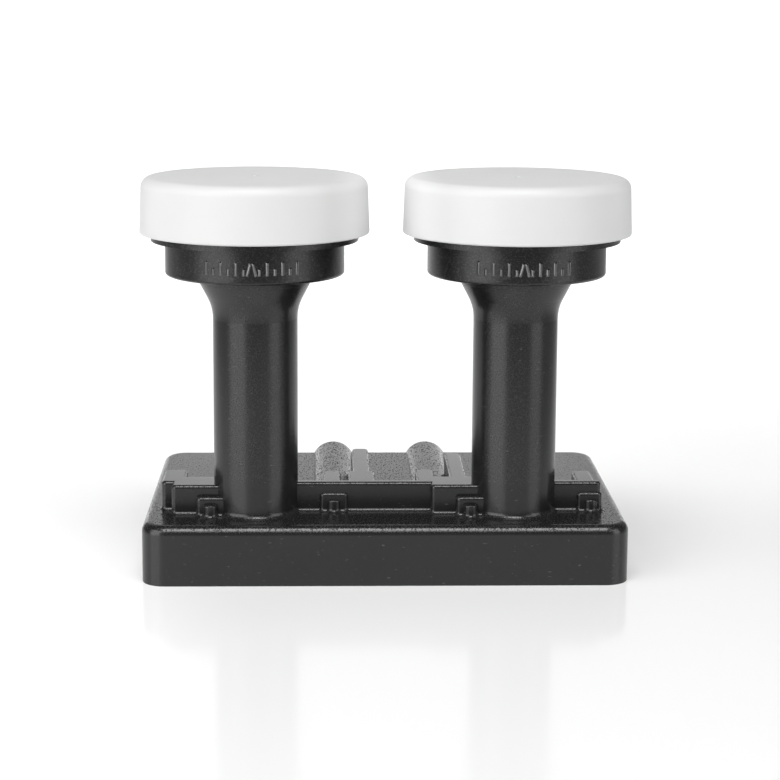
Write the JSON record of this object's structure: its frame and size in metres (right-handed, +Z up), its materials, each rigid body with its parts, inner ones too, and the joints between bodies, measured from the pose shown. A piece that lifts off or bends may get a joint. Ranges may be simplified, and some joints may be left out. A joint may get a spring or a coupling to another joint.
{
  "type": "satellite lnb",
  "caption": "Satellite LNB with a flat box-shaped cast body, ribbed deck, upright round feed necks that flare into white-capped horns, and threaded coaxial connectors at the rear.",
  "frame": {"origin": "on the resting face, midway between the axes of the two necks", "axes": "+X along the body from the left neck to the right one, +Y from the front face to the connectors, +Z up along the necks towards the horn caps"},
  "size_m": [0.1328, 0.113, 0.1088],
  "materials": {
    "black_powder_coat": "fine-grained satin powder coat",
    "white_plastic": "smooth moulded",
    "black_rubber": "matt",
    "nickel_plate": "bright nickel plate over brass",
    "white_dielectric": "turned",
    "gold_plate": "thin gold plate over brass",
    "cover_sheet": "satin sheet",
    "screw_steel": "zinc plated",
    "board_laminate": "lacquered laminate",
    "shield_casting": "as cast",
    "absorber_foam": "matt, filled",
    "chip_plastic": "moulded",
    "crystal_metal": "drawn can",
    "capacitor_ceramic": "fired ceramic",
    "choke_ferrite": "pressed ferrite",
    "transistor_ceramic": "fired ceramic"
  },
  "bodies": {
    "root": {"housing": "black_powder_coat", "cap_left": "white_plastic", "cap_seal_left": "black_rubber", "connector_left": "nickel_plate", "connector_seal_left": "black_rubber", "insulator_left": "white_dielectric", "contact_left": "gold_plate", "mixer_chip_left": "chip_plastic", "cap_right": "white_plastic", "cap_seal_right": "black_rubber", "connector_right": "nickel_plate", "connector_seal_right": "black_rubber", "insulator_right": "white_dielectric", "contact_right": "gold_plate", "mixer_chip_right": "chip_plastic", "back_cover": "cover_sheet", "cover_gasket": "black_rubber", "cover_screws": "screw_steel", "circuit_board": "board_laminate", "inner_shield": "shield_casting", "shield_screws": "screw_steel", "absorber_pad": "absorber_foam", "crystal_can": "crystal_metal", "switch_chip": "chip_plastic", "regulator": "chip_plastic", "chokes": "choke_ferrite", "capacitors": "capacitor_ceramic", "amplifier_transistors": "transistor_ceramic"}
  },
  "joints": []
}
